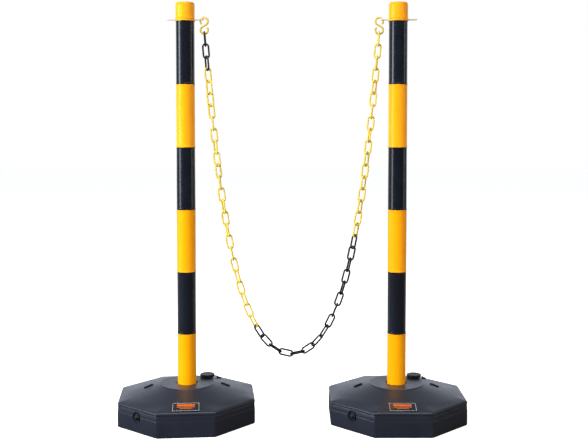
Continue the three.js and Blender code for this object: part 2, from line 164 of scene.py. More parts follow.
def rounded(corners, steps=5):
    """Outline through corners (r, z, rounding). Each corner is replaced by the parabola that
    leaves one edge and meets the next at the rounding's distance: the mean of the two edges'
    moving points. Corners with no rounding stay sharp."""
    corners = np.asarray(corners, float) / 1000
    place, reach = corners[:, :2], corners[:, 2:]
    to_last, to_next = unit(np.roll(place, 1, 0) - place), unit(np.roll(place, -1, 0) - place)
    t = np.linspace(0, 1, steps + 1)[:, None, None]
    curve = (place + (1 - t) ** 2 * reach * to_last + t ** 2 * reach * to_next)
    outline = curve.transpose(1, 0, 2).reshape(-1, 2)
    apart = np.linalg.norm(outline - np.roll(outline, 1, 0), axis=1) > 1e-6
    return outline[apart]


def turned(outline, sides, on_axis=False):
    """Surface of revolution: the point at outline place i and turn a is
    (r_i cos a, r_i sin a, z_i). With on_axis, the outline's first and last points are on the
    axis and become the poles."""
    turn = np.linspace(0, 2 * np.pi, sides, endpoint=False)
    body = outline[1:-1] if on_axis else outline
    rings = np.stack([body[:, :1] * np.cos(turn), body[:, :1] * np.sin(turn),
                      np.broadcast_to(body[:, 1:], (len(body), sides))], -1)
    poles = [(0, 0, outline[0, 1]), (0, 0, outline[-1, 1])] if on_axis else None
    return closed_skin(rings, poles)


def swept(path, across, radius, sides, poles):
    """Wire along a flat path: the point at path place i and turn a is
    path_i + radius_i (cos a * side_i + sin a * across), where side_i is square to the path and
    to the direction across, in which the path is flat."""
    if poles is None:
        forward = unit(np.roll(path, -1, 0) - np.roll(path, 1, 0))
    else:
        forward = unit(np.gradient(path, axis=0))
    across = np.broadcast_to(across, path.shape)
    side = np.cross(across, forward)
    turn = np.linspace(0, 2 * np.pi, sides, endpoint=False)[:, None]
    reach = np.broadcast_to(radius, (len(path),))[:, None, None]
    rings = path[:, None] + reach * (np.cos(turn) * side[:, None] + np.sin(turn) * across[:, None])
    return closed_skin(rings, poles)


def placed(points, basis, origin):
    """Points given in a local frame, moved to the object's frame."""
    return points @ np.asarray(basis, float) + np.asarray(origin, float)


def carried(skin, basis, origin):
    """A skin of points and faces, moved from a local frame to the object's frame."""
    return placed(skin[0], basis, origin), skin[1]


def gathered(parts):
    """Several (points, faces) parts as one, with the later parts' faces renumbered."""
    points, faces, start = [], [], 0
    for part_points, part_faces in parts:
        points.append(part_points)
        faces += [[start + k for k in face] for face in part_faces]
        start += len(part_points)
    return np.concatenate(points), faces


def dressed(name, mesh, material, body, crease=35):
    """An object with this mesh that rides on a body of the frame. Faces that meet at more than
    the crease angle keep a hard edge, and all others are shaded as one smooth surface."""
    made = bpy.data.objects.new(name, mesh)
    scene.collection.objects.link(made)
    mesh.shade_smooth()
    mesh.set_sharp_from_angle(angle=math.radians(crease))
    mesh.materials.append(material)
    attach(made, body)
    return made


def piece(name, skin, material, body):
    """A piece of the object from a skin of points and faces."""
    mesh = bpy.data.meshes.new(name)
    mesh.from_pydata(skin[0].tolist(), [], skin[1])
    mesh.validate()
    return dressed(name, mesh, material, body)


def map_range(tree, value, low, high, to_low, to_high, kind="LINEAR"):
    """A node that carries the range low..high of a value over to to_low..to_high."""
    node = tree.nodes.new("ShaderNodeMapRange")
    node.interpolation_type = kind
    numbers = {"From Min": low, "From Max": high, "To Min": to_low, "To Max": to_high}
    for key, number in numbers.items():
        node.inputs[key].default_value = number
    tree.links.new(value, node.inputs["Value"])
    return node.outputs["Result"]


print("helpers ready")

# %% [markdown]
# ## Plastic, in several finishes
#
# Everything here is moulded plastic or rubber. What tells one from another is colour, gloss and
# grain. One recipe covers them all. A fine noise tilts the surface very slightly, which gives the
# grain of the mould. A broad noise shifts the colour and the gloss by a few hundredths, as in
# real moulding and handling. Stretched noise adds faint rub marks, which show only where light
# glances off. All patterns read object coordinates, so they stay in place on every piece.

# %% Moulded plastic material


def moulded(name, colour, shade, roughness, grain, depth, rub=0.3, specular=0.5, coat=0.0,
            stretch=(1, 1, 1)):
    """A plastic whose colour moves between colour and shade with a broad noise, whose roughness
    rises where rub marks run, and whose surface has a grain of the given size in metres."""
    material = bpy.data.materials.new(name)
    material.use_nodes = True
    tree = material.node_tree
    nodes, links = tree.nodes, tree.links
    shader = nodes["Principled BSDF"]
    shader.inputs["Specular IOR Level"].default_value = specular
    shader.inputs["Coat Weight"].default_value = coat
    shader.inputs["Coat Roughness"].default_value = 0.08
    place = nodes.new("ShaderNodeTexCoord").outputs["Object"]

    def noise(scale, detail, roughness_value, mapping=None):
        texture = nodes.new("ShaderNodeTexNoise")
        texture.inputs["Scale"].default_value = scale
        texture.inputs["Detail"].default_value = detail
        texture.inputs["Roughness"].default_value = roughness_value
        if mapping is None:
            links.new(place, texture.inputs["Vector"])
        else:
            turn = nodes.new("ShaderNodeMapping")
            turn.inputs["Scale"].default_value = mapping
            links.new(place, turn.inputs["Vector"])
            links.new(turn.outputs["Vector"], texture.inputs["Vector"])
        return texture.outputs["Fac"]

    broad = noise(14, 3, 0.55)
    marks = noise(90, 4, 0.6, stretch)
    tint = nodes.new("ShaderNodeMix")
    tint.data_type = "RGBA"
    tint.inputs["A"].default_value = (*colour, 1)
    tint.inputs["B"].default_value = (*shade, 1)
    links.new(map_range(tree, broad, 0.35, 0.68, 0, 1), tint.inputs["Factor"])
    links.new(tint.outputs["Result"], shader.inputs["Base Color"])

    gloss = nodes.new("ShaderNodeMath")
    gloss.operation = "ADD"
    links.new(map_range(tree, marks, 0.52, 0.75, 0, rub * 0.25), gloss.inputs[0])
    links.new(map_range(tree, broad, 0.3, 0.7, roughness - 0.03, roughness + 0.03),
              gloss.inputs[1])
    links.new(gloss.outputs["Value"], shader.inputs["Roughness"])

    bump = nodes.new("ShaderNodeBump")
    bump.inputs["Strength"].default_value = 0.6
    bump.inputs["Distance"].default_value = depth
    links.new(noise(1 / grain, 2, 0.5), bump.inputs["Height"])
    links.new(bump.outputs["Normal"], shader.inputs["Normal"])
    return material


base_plastic = moulded("base_plastic", (0.0125, 0.0150, 0.0255), (0.0152, 0.0182, 0.0300), 0.35,
                       0.0011, 0.00007, rub=0.4)
# Near-black, matt finish of the slot beads: painted shade that darkens the slot mouths.
slot_lip_painted_shade = moulded("slot_lip_painted_shade", (0.0025, 0.003, 0.005), (0.0035, 0.004, 0.006), 0.5,
                       0.0011, 0.00002, rub=0.2, specular=0.15)
black_tube = moulded("black_tube", (0.0045, 0.0062, 0.0115), (0.006, 0.0080, 0.014), 0.24,
                     0.012, 0.00001, rub=0.1, stretch=(1, 1, 0.08))
yellow_tube = moulded("yellow_tube", (0.96, 0.385, 0.0), (0.98, 0.41, 0.0), 0.30,
                      0.012, 0.00001, rub=0.1, specular=0.3, stretch=(1, 1, 0.08))
hook_plastic = moulded("hook_plastic", (0.60, 0.43, 0.03), (0.66, 0.48, 0.036), 0.36,
                       0.0016, 0.00004)
black_link = moulded("black_link", (0.006, 0.006, 0.0068), (0.009, 0.009, 0.0098), 0.36,
                     0.0014, 0.00004)
yellow_link = moulded("yellow_link", (0.72, 0.54, 0.055), (0.78, 0.59, 0.07), 0.38,
                      0.0014, 0.00004)
fitting_plastic = moulded("fitting_plastic", (0.006, 0.0062, 0.0075), (0.009, 0.0093, 0.011),
                          0.45, 0.0009, 0.0001)
seal = moulded("seal", (0.008, 0.008, 0.008), (0.012, 0.012, 0.012), 0.8, 0.0006, 0.0001,
               specular=0.3)
ear_plastic = moulded("ear_plastic", (0.74, 0.75, 0.68), (0.80, 0.81, 0.74), 0.35, 0.002, 0.00002)
label_film = moulded("label_film", (0.010, 0.012, 0.017), (0.012, 0.014, 0.019), 0.25,
                     0.003, 0.00002, coat=0.4)
label_border = moulded("label_border", (0.42, 0.44, 0.48), (0.46, 0.48, 0.52), 0.35, 0.003, 0.00002)
label_orange = moulded("label_orange", (0.62, 0.11, 0.015), (0.68, 0.14, 0.02), 0.3, 0.003, 0.00002)
print("materials:", len(bpy.data.materials))

# %% [markdown]
# ## The chain
#
# A chain link is a wire bent into a stadium: two straight sides and two half circles. Each link
# lies between two contact points on the hanging line, and it is turned about that line. Turned
# edge-on it looks like a bar, and turned face-on it shows its opening. Neighbours are turned by
# roughly a quarter turn from one another. A real chain never hangs perfectly square, so each
# link has its own turn, written below in degrees. The links could be copies of one object, but
# then the chain could not be one piece per colour; instead one formula makes them all at once.

# %% Chain links
LINK_LENGTH, LINK_WIDTH, LINK_WIRE, LINK_COUNT = 0.0422, 0.0200, 0.0049, 58
END_BAR = 0.0184  # from a hook's lower loop to the middle of the link that hangs in it
link_pitch = (line_length - 2 * END_BAR) / (LINK_COUNT - 1)
TURNS = {
    "black_start": [0, 90, 32],
    "yellow_left": [115, 62, 113, 70, 5, 90, 30, 80, 126, 178, 90, 25, 92, 20, 88, 3, 90, 38, 88,
                    40, 90, 43],
    "black_middle": [135, 88, 24, 90, 28, 115, 50, 160, 90, 8, 90, 25, 90, 25, 90, 138],
    "yellow_right": [45, 92, 38, 90, 40, 90, 42, 92, 22, 90, 8, 88, 40, 92, 12, 90, 0],
}


def stadium(length, width, straight_steps, arc_steps):
    """Closed line with two straight sides and two half circles, as (across, along) points. The
    half circle's point at turn a is (r cos a, r sin a) from its centre."""
    r, half = width / 2, (length - width) / 2
    turn = np.linspace(0, np.pi, arc_steps + 1)
    top = np.stack([r * np.cos(turn), half + r * np.sin(turn)], -1)
    side = np.linspace(half, -half, straight_steps + 1)[1:-1]
    left = np.stack([np.full_like(side, -r), side], -1)
    return np.concatenate([top, left, -top, -left])


def chain_run(first, turns):
    """A run of links, from link number first. Link n's centre is midway between the line's points
    half a pitch before and after it, and its long axis joins them. Its wide axis is
    cos(turn) * depth + sin(turn) * (depth x long axis)."""
    number = first + np.arange(len(turns))
    middle = END_BAR + number * link_pitch
    before, after = on_line(middle - link_pitch / 2), on_line(middle + link_pitch / 2)
    long_axis = unit(after - before)
    depth = np.broadcast_to((0.0, 1.0, 0.0), long_axis.shape)
    turn = np.radians(turns)[:, None]
    wide_axis = np.cos(turn) * depth + np.sin(turn) * np.cross(depth, long_axis)
    thick_axis = np.cross(wide_axis, long_axis)
    flat = stadium(LINK_LENGTH - LINK_WIRE, LINK_WIDTH - LINK_WIRE, 3, 12)
    one = swept(np.stack([flat[:, 0], flat[:, 1], np.zeros(len(flat))], -1), (0, 0, 1),
                LINK_WIRE / 2, 12, None)
    basis = np.stack([wide_axis, long_axis, thick_axis], axis=1)
    points = one[0] @ basis + ((before + after) / 2)[:, None]
    faces = np.array(one[1])[None] + (np.arange(len(turns)) * len(one[0]))[:, None, None]
    return points.reshape(-1, 3), faces.reshape(-1, 4).tolist()


def hang(name, turns, first, material, nodes):
    run = piece(name, chain_run(first, turns), material, "chain")
    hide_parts(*nodes)
    return run


hang("black_links_left", TURNS["black_start"], 0, black_link,
     ["left_end_link", "black_run_1"])
hang("yellow_links_left", TURNS["yellow_left"], 3, yellow_link,
     ["yellow_run_1"])
hang("black_links_middle", TURNS["black_middle"], 25, black_link,
     ["black_run_2"])
hang("yellow_links_right", TURNS["yellow_right"], 41, yellow_link,
     ["yellow_run_2", "right_end_link"])

# %% [markdown]
# ## The S-hooks
#
# An S-hook is one bent rod with rounded tips: an arc, a straight bar that leans across the
# middle, and the same arc turned half way round. The lower loop is the upper one with both of
# its coordinates reversed, so only one arc needs a formula. The rod thins to nothing over its
# last radius as a half ball does, which rounds the tips without extra parts.

# %% S-hooks
HOOK_X, HOOK_Z, HOOK_WIRE, HOOK_LOOP, HOOK_GAP = 0.2324, 1.053165, 0.0025, 0.0100, 0.0230


def hook_line():
    """Centre line of the left hook in its own plane: an arc about (0, gap/2) from 228 degrees
    clockwise to the angle at which the inner tangent of the two loops leaves it, then the same
    arc reversed."""
    last = -90 + math.degrees(math.acos(2 * HOOK_LOOP / HOOK_GAP))
    angle = np.radians(np.linspace(228, last, 60))
    arc = np.stack([HOOK_LOOP * np.cos(angle), HOOK_LOOP * np.sin(angle) + HOOK_GAP / 2], -1)
    bar = np.linspace(arc[-1], -arc[-1], 10)[1:-1]
    return np.concatenate([arc, bar, -arc[::-1]])


def rod_with_round_tips(flat, radius, steps, tip_steps, sides):
    """The flat line is sampled evenly, and more closely at its tips. At a distance d from a tip,
    less than the radius r, the rod's radius is the square root of r^2 - (r - d)^2."""
    run = np.concatenate([[0], np.cumsum(np.linalg.norm(np.diff(flat, axis=0), axis=1))])
    near = radius * (1 - np.cos(np.linspace(0, np.pi / 2, tip_steps + 1)))
    middle = np.linspace(radius, run[-1] - radius, steps)
    place = np.concatenate([near[1:-1], middle, run[-1] - near[1:-1][::-1]])
    from_tip = np.minimum(place, run[-1] - place).clip(max=radius)
    thick = np.sqrt(radius ** 2 - (radius - from_tip) ** 2)

    def at(distance):
        return np.stack([np.interp(distance, run, flat[:, 0]), np.zeros_like(distance),
                         np.interp(distance, run, flat[:, 1])], -1)

    ends = at(np.array([0.0, run[-1]]))
    return swept(at(place), (0.0, 1.0, 0.0), thick, sides, ends)


hook_skin = rod_with_round_tips(hook_line(), HOOK_WIRE, 110, 7, 18)
for side, turn in (("left", 1), ("right", -1)):
    # The right hook is the left one turned half way round the upright axis
    basis = np.diag([turn, turn, 1.0])
    hook = piece(f"{side}_hook_rod", carried(hook_skin, basis, (-turn * HOOK_X, 0, HOOK_Z)),
                 hook_plastic, f"{side}_hook")
    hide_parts(f"{side}_s_hook")
print("hook rod points:", len(hook_skin[0]))

# %% [markdown]
# ## The posts
#
# A post is six short tubes, plugged one into the next. Each tube is turned from one outline: the
# wall, a slightly thicker lip at each end where the mould closes, and a narrower spigot at the
# top that the next tube slides over. Two colours take turns from the base up, yellow first. The
# outline is given by its corners, and each corner gets its own small rounding, because real
# moulded edges catch a thin line of light.

# %% Tubes
POST_X, FOOT, PITCH, TUBES, POST_SIDES = 0.283, 0.063, 0.167, 6, 72


def tube_outline(wall, lip):
    """Corners (r, z, rounding) of one tube in millimetres, anticlockwise: bore, bottom edge,
    lower lip, wall, upper lip, shoulder, spigot, and back down inside it."""
    top = 166.7
    return [
        (23.2, 0, 0.2), (lip, 0, 0.5), (lip, 3.6, 0.4), (wall, 4.6, 0.8), (wall, top - 3.2, 0.6),
        (lip - 0.25, top - 2.6, 0.3), (lip - 0.25, top, 0.5), (22.9, top, 0.3),
        (22.9, top + 30, 0.8), (20.9, top + 30, 0.6), (20.9, top - 2, 0.5), (23.2, top - 6, 0.5),
    ]


tube_skins = {
    "yellow": turned(rounded(tube_outline(25.05, 25.75), 3), POST_SIDES),
    "black": turned(rounded(tube_outline(24.75, 25.2), 3), POST_SIDES),
}
for side, sign in (("left", -1), ("right", 1)):
    for number in range(TUBES):
        colour = "black" if number % 2 else "yellow"
        points, faces = tube_skins[colour]
        moved = points + (sign * POST_X, 0, FOOT + number * PITCH)
        tube = piece(f"{side}_tube_{number + 1}", (moved, faces),
                     black_tube if number % 2 else yellow_tube, f"{side}_post")
        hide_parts(f"{side}_post_section_{number + 1}")
print("tubes:", 2 * TUBES)

# %% [markdown]
# ## The chain plate and the cap
#
# Under the cap sits a ring with two thin ears. Each ear is a flat tongue with a round eye for a
# hook. An ear could be cut from a box, but here it is one surface: at every turn about the eye's
# centre, the same small cross-section reaches from the eye's edge out to the tongue's outline.
# The cap is a turned cup with a softly rounded top.

# %% Plates with ears
PLATE_Z, CAP_SEAT = FOOT + TUBES * PITCH, 0.0062
EYE_X, EYE_R, EAR_HALF, EAR_ROOT, EAR_LOW, EAR_HIGH = 0.041, 0.006, 0.009, 0.0245, 0.0033, 0.0059


def ear_skin(sides):
    """Tongue about an eye. At turn a, the outline is the half circle of radius EAR_HALF on the
    outer side, and on the inner side the nearer of the tongue's long edge, EAR_HALF / |sin a|,
    and its root. The section runs round the strip between the eye and the outline."""
    turn = np.linspace(0, 2 * np.pi, sides, endpoint=False)
    inward = np.cos(turn) < 0
    edge = EAR_HALF / np.maximum(np.abs(np.sin(turn)), 1e-9)
    root = (EYE_X - EAR_ROOT) / np.maximum(-np.cos(turn), 1e-9)
    reach = np.where(inward, np.minimum(edge, root), EAR_HALF)
    soft = 0.0007  # bevel of the ear's edges
    share = np.array([0, 0, 1, 1, 1, 1, 0, 0])  # 0 at the eye, 1 at the outline
    inset = np.array([0, 1, -1, 0, 0, -1, 1, 0]) * soft
    height = np.array([EAR_LOW + soft, EAR_LOW, EAR_LOW, EAR_LOW + soft,
                       EAR_HIGH - soft, EAR_HIGH, EAR_HIGH, EAR_HIGH - soft])
    radius = EYE_R * (1 - share[:, None]) + reach * share[:, None] + inset[:, None]
    rings = np.stack([EYE_X + radius * np.cos(turn), radius * np.sin(turn),
                      np.broadcast_to(height[:, None], radius.shape)], -1)
    return closed_skin(rings, None)


collar = turned(rounded([(23.2, 0.2, 0.3), (26.9, 0.2, 0.9), (26.9, 5.8, 0.9), (23.2, 5.8, 0.3)],
                        4), POST_SIDES)
ear_points, ear_faces = ear_skin(96)
turned_ear = ear_points * (-1, -1, 1)
cap_outline = rounded([
    (0, 40.8, 0), (19, 40.0, 2), (20, 38, 2), (20, 31.5, 0.3), (23.2, 31.5, 0.3), (23.2, 0.1, 0.4),
    (26.1, 0.1, 0.9), (26.1, 3.4, 0.6), (25.7, 4.4, 1.0), (25.6, 39.5, 5.0), (22.0, 44.3, 5.5),
    (0, 44.8, 0),
], 6)
cap_skin = turned(cap_outline, POST_SIDES, on_axis=True)
for side, sign in (("left", -1), ("right", 1)):
    at_top = np.array([sign * POST_X, 0, PLATE_Z])
    ring = piece(f"{side}_plate_collar", (collar[0] + at_top, collar[1]), yellow_tube,
                 f"{side}_post")
    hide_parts(f"{side}_chain_plate")
    ears = gathered([(ear_points + at_top, ear_faces), (turned_ear + at_top, ear_faces)])
    piece(f"{side}_plate_ears", ears, ear_plastic, f"{side}_post")
    cap = piece(f"{side}_cap", (cap_skin[0] + at_top + (0, 0, CAP_SEAT), cap_skin[1]), yellow_tube,
                f"{side}_cap")
    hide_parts(f"{side}_top_cap")
print("cap height:", round(float(np.ptp(cap_skin[0][:, 2])), 4))

# %% [markdown]
# ## The ballast base
#
# The base is a blow-moulded shell: an octagon at the floor that turns into a circle at the hub,
# and a round well in the middle for the post. It could be joined from an eight-sided prism and
# a cone, but then the meeting lines would be hard creases. Here the whole skin is one surface.
# It is a stack of rings, and each ring's distance from the axis is a formula of the direction:
# a circle, or an octagon whose corners are arcs. The octagon's distance at an angle f from the
# nearest flat's middle is h / cos f. Near a corner it is d cos e + sqrt(c^2 - d^2 sin^2 e), where
# c is the corner's radius, d its centre's distance and e the angle to the corner.

# %% Base skin
SECTOR = math.pi / 4


def around_octagon(flat_steps, corner_steps, corner_angle):
    """Directions of the ring's points: even along the flats and close together at the corners."""
    flats = np.linspace(-SECTOR / 2 + corner_angle, SECTOR / 2 - corner_angle, flat_steps)
    corner = np.linspace(SECTOR / 2 - corner_angle, SECTOR / 2 + corner_angle, corner_steps)
    sector = np.concatenate([flats, corner[1:-1]])
    return (sector[None] + SECTOR * np.arange(8)[:, None]).ravel()


DIRECTIONS = around_octagon(26, 10, math.radians(1.6))


def octagon(half_across, corner):
    """Distance from the axis to an octagon with arcs for corners, in every direction."""
    from_flat = DIRECTIONS - SECTOR * np.round(DIRECTIONS / SECTOR)
    centre = (half_across - corner) / math.cos(SECTOR / 2)
    from_corner = SECTOR / 2 - np.abs(from_flat)
    on_flat = half_across / np.cos(from_flat)
    under_root = np.maximum(corner ** 2 - (centre * np.sin(from_corner)) ** 2, 0)
    on_arc = centre * np.cos(from_corner) + np.sqrt(under_root)
    flat_half = (half_across - corner) * math.tan(SECTOR / 2)
    is_flat = half_across * np.tan(np.abs(from_flat)) < flat_half
    return np.where(is_flat, on_flat, on_arc)


def level(reach, height):
    """One ring of the stack, from its distances in every direction, at one height."""
    reach = np.broadcast_to(reach, DIRECTIONS.shape)
    return np.stack([reach * np.cos(DIRECTIONS), reach * np.sin(DIRECTIONS),
                     np.full_like(reach, height)], -1)


def base_rings():
    """Rings from the middle of the underside out over the wall and the top, and down the well.
    The foot and the rim are quarter-round: inset and height follow a sine and a cosine. The wall
    has a step and a shallow groove halfway up. The top is a cone up to the hub; from the rim
    inwards the octagon melts into a circle, with the blend 3t^2 - 2t^3 of the share t of that
    band. Last come the hub's shoulder, its flat top, the well and the stub in it."""
    rings = [level(0.02, 0.0), level(0.06, 0.0), level(0.12, 0.0)]
    quarter = np.linspace(0, np.pi / 2, 6)
    for bend in quarter:
        rings.append(level(octagon(0.1765 + 0.0035 * math.sin(bend), 0.009),
                           0.0035 - 0.0035 * math.cos(bend)))
    rings += [level(octagon(reach, 0.009), z) for reach, z in (
        (0.18, 0.010), (0.18, 0.026), (0.1799, 0.0410), (0.1798, 0.0418), (0.1795, 0.0424),
        (0.1794, 0.0430), (0.1793, 0.0450), (0.1790, 0.0560), (0.1787, 0.0566), (0.1786, 0.0574),
        (0.1790, 0.0580), (0.1798, 0.0584), (0.1800, 0.0590))]
    for bend in np.linspace(0.1, 1.3, 10):
        rings.append(level(octagon(0.1745 + 0.0055 * math.cos(bend), 0.010 + 0.002 * bend),
                           0.0595 + 0.0065 * math.sin(bend)))
    rim, circle, hub, melt = octagon(0.1745, 0.013), 0.1795, 0.0745, 0.28
    rim_high, hub_high = 0.0660, 0.0936
    for share in (0.008, 0.02, 0.04, 0.07, 0.1, 0.14, 0.18, 0.23, 0.28, 0.35, 0.45, 0.6, 0.75,
                  0.88, 0.95, 0.985):
        band = min(share / melt, 1)
        melted = rim + (circle - rim) * (3 * band ** 2 - 2 * band ** 3)
        rings.append(level(melted + (hub - melted) * share,
                           rim_high + (hub_high - rim_high) * share))
    hub_shape = [(74.4, 93.65), (74.1, 93.85), (73.8, 94.3), (73.3, 94.75), (72.6, 95.0),
                 (71.5, 95.05), (70.0, 95.0), (66, 94.95), (55, 95.0), (42, 95.0), (33, 95.0),
                 (30.2, 94.95), (29.3, 94.7), (28.7, 94.1), (28.3, 93.3), (27.8, 92.0),
                 (27.0, 90.0), (26.5, 88.8), (26.3, 87.5), (26.3, 75), (26.3, 62.8),
                 (26.2, 62.7), (23.0, 62.7),
                 (22.9, 62.8), (22.9, 75), (22.9, 91.8), (22.6, 92.5), (22.0, 92.7), (10, 92.7)]
    return np.stack(rings + [level(r / 1000, z / 1000) for r, z in hub_shape])


base_points, base_faces = closed_skin(base_rings(), [(0, 0, 0), (0, 0, 0.0927)])
print("base rings:", len(base_points) // len(DIRECTIONS), "points round:", len(DIRECTIONS))

# %% [markdown]
# ## Openings in the base
#
# Three kinds of opening go through the skin: two short slots where the mould pinches the top and
# the bottom walls together, a round dish for the drain plug, and the filler's bore. Writing them
# into the formula would bend its rings for a few small marks, so they are cut afterwards with a
# Boolean modifier. Each cutter is a simple closed shape, placed in a local frame: an origin on
# the skin and three axes. One mesh is cut for both bases. Real stands are never set down quite
# square, so the left one is turned by a few degrees when it is put in its place.

# %% Local frames and cutters
BASE_TURN = {"left": 5.0, "right": 0.0}  # degrees, anticlockwise from above
RIM_IN, RIM_HIGH, HUB_R, HUB_HIGH = 0.174, 0.0665, 0.073, 0.095
WALL_OUT, DRAIN_HIGH, FILLER_REACH, BUTTON_REACH = 0.18, 0.040, 0.077, 0.122
SLOT_REACH, SLOT_LENGTH, SLOT_WIDTH, SLOT_TURN = 0.1035, 0.023, 0.008, -27


def top_frame(azimuth, reach):
    """Rows across, uphill and normal, and the origin, on the sloping top of a base. The slope is
    the top's rise over its run in that direction."""
    a = math.radians(azimuth)
    from_flat = a - SECTOR * round(a / SECTOR)
    rim = RIM_IN / math.cos(from_flat)
    slope = (HUB_HIGH - RIM_HIGH) / (rim - HUB_R)
    out = np.array([math.cos(a), math.sin(a), 0])
    uphill = unit(np.array([-out[0], -out[1], slope]))
    across = np.array([-out[1], out[0], 0])
    origin = out * reach + (0, 0, RIM_HIGH + slope * (rim - reach))
    return np.stack([across, uphill, np.cross(across, uphill)]), origin


def drain_frame():
    """Rows along the wall, up and outwards, and the origin, on the front left upright face."""
    a = math.radians(225)
    out = np.array([math.cos(a), math.sin(a), 0])
    return np.stack([(-out[1], out[0], 0), (0, 0, 1), out]), out * WALL_OUT + (0, 0, DRAIN_HIGH)


def filler_frame():
    """Upright rows and origin at the filler: outwards, along the hub's edge, and up."""
    out = np.array([math.cos(math.pi / 4), math.sin(math.pi / 4), 0])
    origin = out * FILLER_REACH + (0, 0, HUB_HIGH)
    return np.stack([out, (-out[1], out[0], 0), (0, 0, 1)]), origin


FILLER, DRAIN = filler_frame(), drain_frame()


def slot_frame(side):
    """Level frame over a slot: turned so that its outer end points a little to the front."""
    turn = math.radians(SLOT_TURN * side)
    basis = np.array([(math.cos(turn), math.sin(turn), 0), (-math.sin(turn), math.cos(turn), 0),
                      (0, 0, 1)])
    return basis, np.array([side * SLOT_REACH, 0, top_frame(0, SLOT_REACH)[1][2]])


def prism(outline, low, high):
    """Upright block over a flat closed outline, with a pole in the middle of each end."""
    rings = np.stack([np.column_stack([outline, np.full(len(outline), z)]) for z in (low, high)])
    return closed_skin(rings, [(0, 0, low), (0, 0, high)])


def slot_outline(grow):
    """Closed outline of a slot's mouth in its level frame, widened on all sides by grow."""
    flat = stadium(SLOT_LENGTH + 2 * grow, SLOT_WIDTH + 2 * grow, 4, 10)
    return np.stack([-flat[:, 1], flat[:, 0]], -1)


cutters = []
for side in (-1, 1):
    cutters.append(carried(prism(slot_outline(0), -0.026, 0.012), *slot_frame(side)))
dish = turned(rounded([(0, -6, 0), (13, -6, 1.2), (15.2, 1, 0), (0, 1, 0)], 4), 48, on_axis=True)
hole = turned(np.array([(0, -0.012), (0.007, -0.012), (0.007, -0.005), (0, -0.005)]), 32,
              on_axis=True)
bore = turned(np.array([(0, -0.016), (0.013, -0.016), (0.013, 0.008), (0, 0.008)]), 40,
              on_axis=True)
cutters += [carried(dish, *DRAIN), carried(hole, *DRAIN), carried(bore, *FILLER)]


def cut(skin, tools):
    """The skin with every tool taken away from it, as a new mesh."""
    made = []
    for name, (points, faces) in [("skin", skin)] + [("tool", tool) for tool in tools]:
        mesh = bpy.data.meshes.new(name)
        mesh.from_pydata(points.tolist(), [], faces)
        made.append(bpy.data.objects.new(name, mesh))
        scene.collection.objects.link(made[-1])
    for tool in made[1:]:
        modifier = made[0].modifiers.new("cut", "BOOLEAN")
        modifier.operation, modifier.object, modifier.solver = "DIFFERENCE", tool, "EXACT"
    bpy.context.view_layer.update()
    whole = made[0].evaluated_get(bpy.context.evaluated_depsgraph_get())
    result = bpy.data.meshes.new_from_object(whole)
    for spare in made:
        bpy.data.objects.remove(spare)
    return result


def stood(points, side):
    """Points of a base, turned about the post's axis and moved to their side of the set."""
    turn = math.radians(BASE_TURN[side])
    basis = np.array([(math.cos(turn), math.sin(turn), 0), (-math.sin(turn), math.cos(turn), 0),
                      (0, 0, 1)])
    return placed(points, basis, np.array([-POST_X if side == "left" else POST_X, 0, 0]))


def mesh_piece(name, mesh, side, material, body):
    """A copy of a finished mesh, stood on its side of the set, as a piece of the object."""
    copy = mesh.copy()
    places = np.empty(len(copy.vertices) * 3, np.float32)
    copy.vertices.foreach_get("co", places)
    copy.vertices.foreach_set("co", stood(places.reshape(-1, 3), side).astype(np.float32).ravel())
    copy.materials.clear()
    return dressed(name, copy, material, body)


base_mesh = cut((base_points, base_faces), cutters)
print("base faces after cutting:", len(base_mesh.polygons))

# %% [markdown]
# ## Small parts of the base
#
# A thin bead lines the mouth of each slot. Its shape is a rounded lip, but its near-black, matt
# colour, darker than the base, is painted shade, which makes the slot read as a deep opening. The
# filler stands upright on the hub's edge, at the back right. It has a neck with a thread, a low
# screw cap with grip ribs, a rubber ring inside, and a strap that ties the cap to the base. The
# drain has a plug with a knob and a rubber ring. All of these but the strap are turned or swept
# surfaces, made in their own frame and moved to their place at the end.

# %% Beads, neck, cap, plug and rings
BEAD_R, BEAD_OUT, CAP_RIBS = 0.0015, 0.0006, 30


def bead(side):
    """A wire laid round a slot's edge, following the slope of the top: its height above the
    slot's frame is the slope times its distance along the radius."""
    flat = slot_outline(BEAD_OUT)
    basis, origin = slot_frame(side)
    path = placed(np.column_stack([flat, np.zeros(len(flat))]), basis, origin)
    slope = (HUB_HIGH - RIM_HIGH) / (RIM_IN - HUB_R)
    path[:, 2] += slope * (SLOT_REACH - np.hypot(path[:, 0], path[:, 1]))
    forward = unit(np.roll(path, -1, 0) - np.roll(path, 1, 0))
    up = np.array([side * slope, 0, 1]) / math.hypot(slope, 1)
    side_way = unit(np.cross(np.broadcast_to(up, path.shape), forward))
    turn = np.linspace(0, 2 * np.pi, 10, endpoint=False)[:, None]
    rings = path[:, None] + BEAD_R * (np.cos(turn) * side_way[:, None] + np.sin(turn) * up)
    return closed_skin(rings, None)


neck_outline = rounded([
    (13, -10, 0.3), (16, -10, 0.3), (16, 0.6, 0.2), (15.2, 1.4, 0.2), (16, 2.0, 0.2),
    (16, 2.6, 0.2), (15.2, 3.2, 0.2), (15.2, 4.4, 0.4), (13, 4.4, 0.4),
], 3)
neck = turned(neck_outline, 48)


